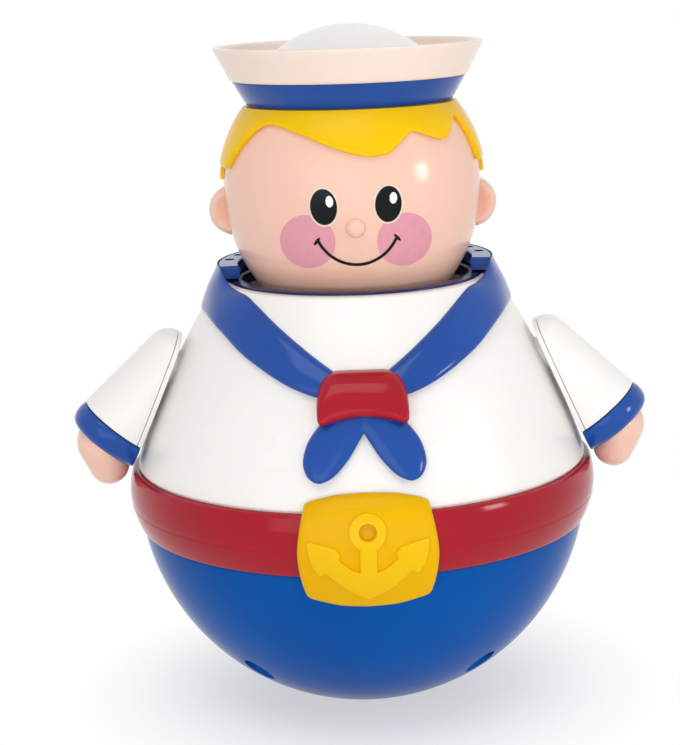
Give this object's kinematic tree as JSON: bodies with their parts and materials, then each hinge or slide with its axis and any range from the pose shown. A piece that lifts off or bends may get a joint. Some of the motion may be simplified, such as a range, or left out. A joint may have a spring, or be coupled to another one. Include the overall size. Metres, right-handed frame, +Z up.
{
  "type": "roly poly toy",
  "caption": "Weighted roly poly figure in a sailor suit: a round bowl that rights itself, a belted torso with a chime inside, a turning head with a hat, and arms that turn at the shoulders.",
  "frame": {"origin": "middle of the flat foot, on the surface that the toy stands on", "axes": "+Z up through the toy's axis, the figure faces -Y, +X is the figure's own left"},
  "size_m": [0.155, 0.1312, 0.1838],
  "materials": {
    "blue_plastic": "moulded gloss",
    "red_plastic": "moulded gloss",
    "white_plastic": "moulded gloss",
    "buckle_yellow": "moulded gloss",
    "hair_yellow": "moulded gloss",
    "skin_plastic": "moulded satin gloss, printed face",
    "navy_plastic": "moulded gloss",
    "inner_plastic": "moulded",
    "weight_iron": "as cast",
    "screw_steel": "zinc plated",
    "rod_steel": "drawn"
  },
  "bodies": {
    "body": {"base_shell": "blue_plastic", "belt_ring": "red_plastic", "belt_buckle": "buckle_yellow", "torso_shell": "white_plastic", "neck_ring": "navy_plastic", "scarf_collar": "blue_plastic", "scarf_knot": "red_plastic", "scarf_tails": "blue_plastic", "counterweight": "weight_iron", "weight_screws": "screw_steel", "case_screws": "screw_steel", "chime_yoke": "inner_plastic", "chime_rods": "rod_steel", "clapper_pin": "rod_steel"},
    "clapper": {"clapper": "inner_plastic"},
    "head": {"head_shell": "skin_plastic", "hair_front": "hair_yellow", "hair_back": "hair_yellow", "hat_band": "blue_plastic", "hat_brim": "white_plastic", "hat_crown": "white_plastic", "neck_post": "inner_plastic", "neck_washer": "screw_steel", "neck_screw": "screw_steel"},
    "arm_left": {"sleeve_left": "white_plastic", "arm_plate_left": "white_plastic", "cuff_left": "blue_plastic", "hand_left": "skin_plastic", "arm_washer_left": "screw_steel", "arm_screw_left": "screw_steel"},
    "arm_right": {"sleeve_right": "white_plastic", "arm_plate_right": "white_plastic", "cuff_right": "blue_plastic", "hand_right": "skin_plastic", "arm_washer_right": "screw_steel", "arm_screw_right": "screw_steel"}
  },
  "joints": [
    {"name": "head_turn", "type": "hinge", "parent": "body", "child": "head", "pos_m": [0, 0, 0.1126], "axis": [0, 0, 1], "continuous": true},
    {"name": "arm_left_turn", "type": "hinge", "parent": "body", "child": "arm_left", "pos_m": [0.05117, -0.00538, 0.0943], "axis": [0.9088, -0.0955, 0.4061], "continuous": true},
    {"name": "arm_right_turn", "type": "hinge", "parent": "body", "child": "arm_right", "pos_m": [-0.05117, -0.00538, 0.0943], "axis": [-0.9088, -0.0955, 0.4061], "continuous": true},
    {"name": "clapper_swing", "type": "hinge", "parent": "body", "child": "clapper", "pos_m": [0, 0, 0.0652], "axis": [1, 0, 0], "range_deg": [-25, 25]}
  ]
}
